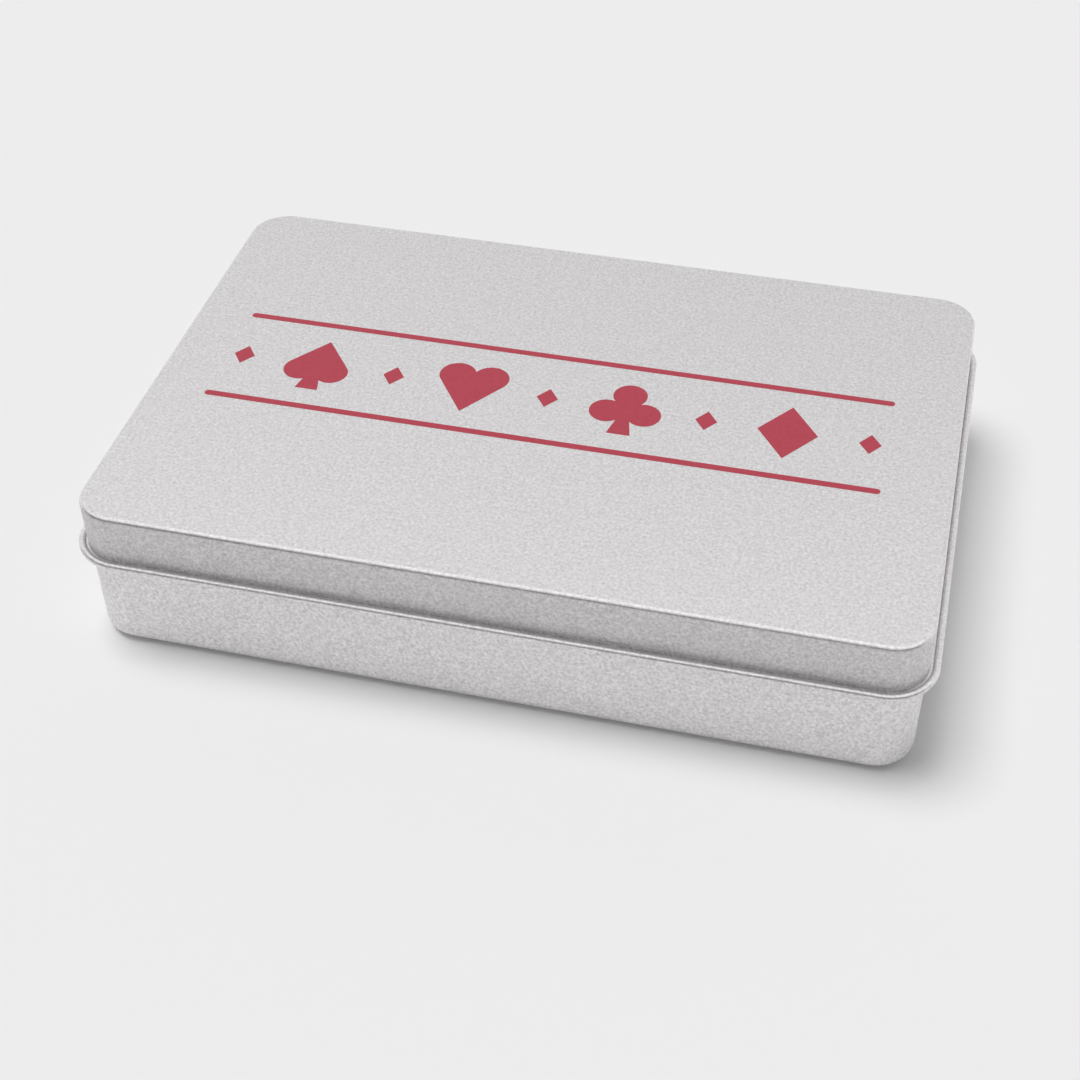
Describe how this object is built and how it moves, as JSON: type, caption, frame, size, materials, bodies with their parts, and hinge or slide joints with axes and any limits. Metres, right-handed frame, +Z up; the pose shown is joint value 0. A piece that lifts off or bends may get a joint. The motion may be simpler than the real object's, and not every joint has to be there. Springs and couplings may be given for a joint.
{
  "type": "card game tin",
  "caption": "Low rectangular tinplate box with rounded corners, a rolled bead round its rim and a back-hinged lid, holding a formed tray with decks of playing cards.",
  "frame": {"origin": "middle of the underside of the base, on the surface the tin stands on", "axes": "+Z up; X along the tin's length; +Y towards the hinged back, so -Y is the side that opens"},
  "size_m": [0.1944, 0.1308, 0.0386],
  "materials": {
    "tinplate": "matt stone finish tinplate",
    "lid_print": "satin printed ink",
    "pin_wire": "drawn wire",
    "tray_plastic": "satin vacuum-formed polystyrene",
    "card_stock": "linen-finish varnished card",
    "card_back_print": "printed lattice card back"
  },
  "bodies": {
    "base": {"base_pan": "tinplate", "hinge_pin_left": "pin_wire", "hinge_pin_right": "pin_wire", "card_tray": "tray_plastic", "card_deck_left": "card_stock", "card_deck_right": "card_stock"},
    "lid": {"hinged_lid": "tinplate"}
  },
  "joints": [
    {"name": "lid_hinge", "type": "hinge", "parent": "base", "child": "lid", "pos_m": [0, 0.06405, 0.0266], "axis": [-1, 0, 0], "range_deg": [0, 135]}
  ]
}
